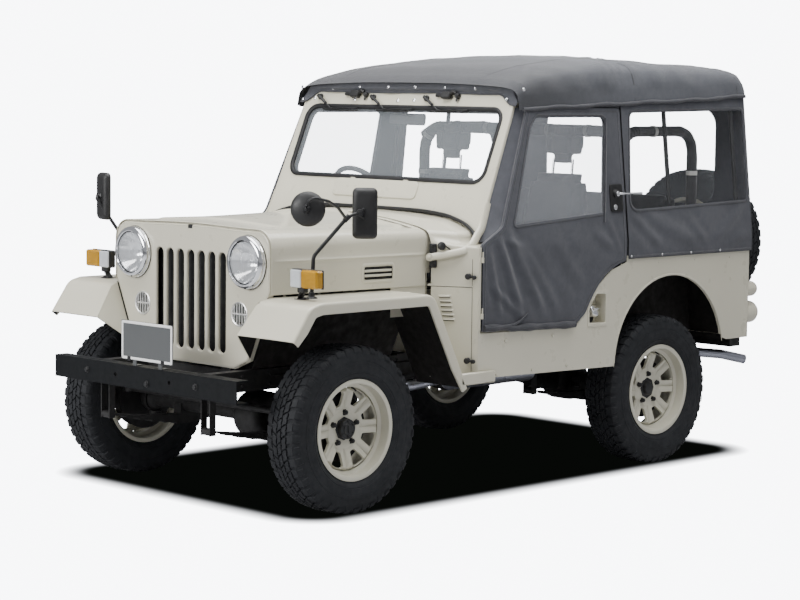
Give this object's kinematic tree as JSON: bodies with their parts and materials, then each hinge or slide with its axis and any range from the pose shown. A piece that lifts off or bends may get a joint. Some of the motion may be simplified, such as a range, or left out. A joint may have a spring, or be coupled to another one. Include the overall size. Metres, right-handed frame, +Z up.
{
  "type": "light 4x4 field car with soft top",
  "caption": "Open-bodied light 4x4 field car with a fitted canvas top and doors, flat fenders, slotted nose panel and a rear-mounted spare wheel.",
  "frame": {"origin": "on the ground, midway between the bumper's front and the spare tyre's back, on the car's middle plane", "axes": "+X to the car's left, +Y to its rear, +Z up"},
  "size_m": [1.664, 3.455, 1.9679],
  "materials": {
    "body_paint": "gloss cream paint",
    "black_chassis": "satin black paint",
    "black_bumper": "semi-gloss black paint",
    "plate": "blank grey plate with a white border",
    "wheel_paint": "semi-gloss cream paint",
    "tyre": "matt black rubber",
    "engine_iron": "rough cast",
    "exhaust_steel": "dull bare steel",
    "chrome": "polished",
    "lens_glass": "ribbed clear glass",
    "window_glass": "clear flat glass",
    "black_plastic": "grained",
    "canvas": "matt coated canvas, blue-grey",
    "clear_vinyl": "clear flexible sheet",
    "black_pad": "padded black cover",
    "seat_vinyl": "dark woven seat cloth",
    "amber_lens": "amber moulded lens"
  },
  "bodies": {
    "chassis": {"chassis_frame": "black_chassis", "front_bumper": "black_bumper", "number_plate": "plate", "front_axle": "black_chassis", "rear_axle": "black_chassis", "leaf_springs": "black_chassis", "shock_absorbers": "black_chassis", "spare_wheel": "wheel_paint", "spare_tyre": "tyre", "spare_bracket": "body_paint", "engine": "engine_iron", "driveline": "black_chassis", "exhaust": "exhaust_steel", "radiator": "black_chassis", "tub_floor": "body_paint", "side_panels": "body_paint", "wheel_houses": "body_paint", "rear_panel": "body_paint", "cowl": "body_paint", "grille": "body_paint", "headlamps": "chrome", "headlamp_lenses": "lens_glass", "front_fenders": "body_paint", "windscreen_frame": "body_paint", "windscreen_glass": "window_glass", "steering_column": "black_plastic", "soft_top": "canvas", "top_windows": "clear_vinyl", "roll_bar": "black_pad", "top_bows": "black_chassis", "seats": "seat_vinyl", "mirrors": "black_plastic", "turn_signals": "amber_lens", "tail_lamps": "body_paint"},
    "knuckle_left": {"knuckle_left": "black_chassis"},
    "knuckle_right": {"knuckle_right": "black_chassis"},
    "tie_rod": {"tie_rod": "black_chassis"},
    "front_left_wheel": {"wheel_front_left": "wheel_paint", "tyre_front_left": "tyre"},
    "front_right_wheel": {"wheel_front_right": "wheel_paint", "tyre_front_right": "tyre"},
    "rear_left_wheel": {"wheel_rear_left": "wheel_paint", "tyre_rear_left": "tyre"},
    "rear_right_wheel": {"wheel_rear_right": "wheel_paint", "tyre_rear_right": "tyre"},
    "steering_wheel": {"steering_wheel": "black_plastic"},
    "hood": {"hood": "body_paint"},
    "left_door": {"door_left": "canvas", "door_window_left": "clear_vinyl"},
    "right_door": {"door_right": "canvas", "door_window_right": "clear_vinyl"},
    "tailgate": {"tailgate": "body_paint"}
  },
  "joints": [
    {"name": "left_steer", "type": "hinge", "parent": "chassis", "child": "knuckle_left", "pos_m": [0.565, -1.2045, 0.362], "axis": [0, 0, 1], "range_deg": [-28, 28]},
    {"name": "right_steer", "type": "hinge", "parent": "chassis", "child": "knuckle_right", "pos_m": [-0.565, -1.2045, 0.362], "axis": [0, 0, 1], "range_deg": [-28, 28]},
    {"name": "tie_rod_swing", "type": "hinge", "parent": "knuckle_left", "child": "tie_rod", "pos_m": [0.565, -1.3545, 0.44], "axis": [0, 0, 1], "range_deg": [-28, 28]},
    {"name": "front_left_spin", "type": "hinge", "parent": "knuckle_left", "child": "front_left_wheel", "pos_m": [0.705, -1.2045, 0.362], "axis": [1, 0, 0], "continuous": true},
    {"name": "front_right_spin", "type": "hinge", "parent": "knuckle_right", "child": "front_right_wheel", "pos_m": [-0.705, -1.2045, 0.362], "axis": [1, 0, 0], "continuous": true},
    {"name": "rear_left_spin", "type": "hinge", "parent": "chassis", "child": "rear_left_wheel", "pos_m": [0.705, 0.8255, 0.362], "axis": [1, 0, 0], "continuous": true},
    {"name": "rear_right_spin", "type": "hinge", "parent": "chassis", "child": "rear_right_wheel", "pos_m": [-0.705, 0.8255, 0.362], "axis": [1, 0, 0], "continuous": true},
    {"name": "steering_wheel_turn", "type": "hinge", "parent": "chassis", "child": "steering_wheel", "pos_m": [-0.37, -0.05, 1.265], "axis": [0, 0.8192, 0.5736], "range_deg": [-510, 510]},
    {"name": "hood_open", "type": "hinge", "parent": "chassis", "child": "hood", "pos_m": [0, -0.6, 1.252], "axis": [-1, 0, 0], "range_deg": [0, 70]},
    {"name": "left_door_open", "type": "hinge", "parent": "chassis", "child": "left_door", "pos_m": [0.819, -0.4635, 1], "axis": [0, 0, -1], "range_deg": [0, 70]},
    {"name": "right_door_open", "type": "hinge", "parent": "chassis", "child": "right_door", "pos_m": [-0.819, -0.4635, 1], "axis": [0, 0, 1], "range_deg": [0, 70]},
    {"name": "tailgate_open", "type": "hinge", "parent": "chassis", "child": "tailgate", "pos_m": [-0.659, 1.5095, 0.8], "axis": [0, 0, 1], "range_deg": [0, 95]}
  ],
  "couplings": [
    {"joint": "right_steer", "follows": "left_steer", "ratio": 1},
    {"joint": "tie_rod_swing", "follows": "left_steer", "ratio": -1},
    {"joint": "steering_wheel_turn", "follows": "left_steer", "ratio": 18}
  ]
}
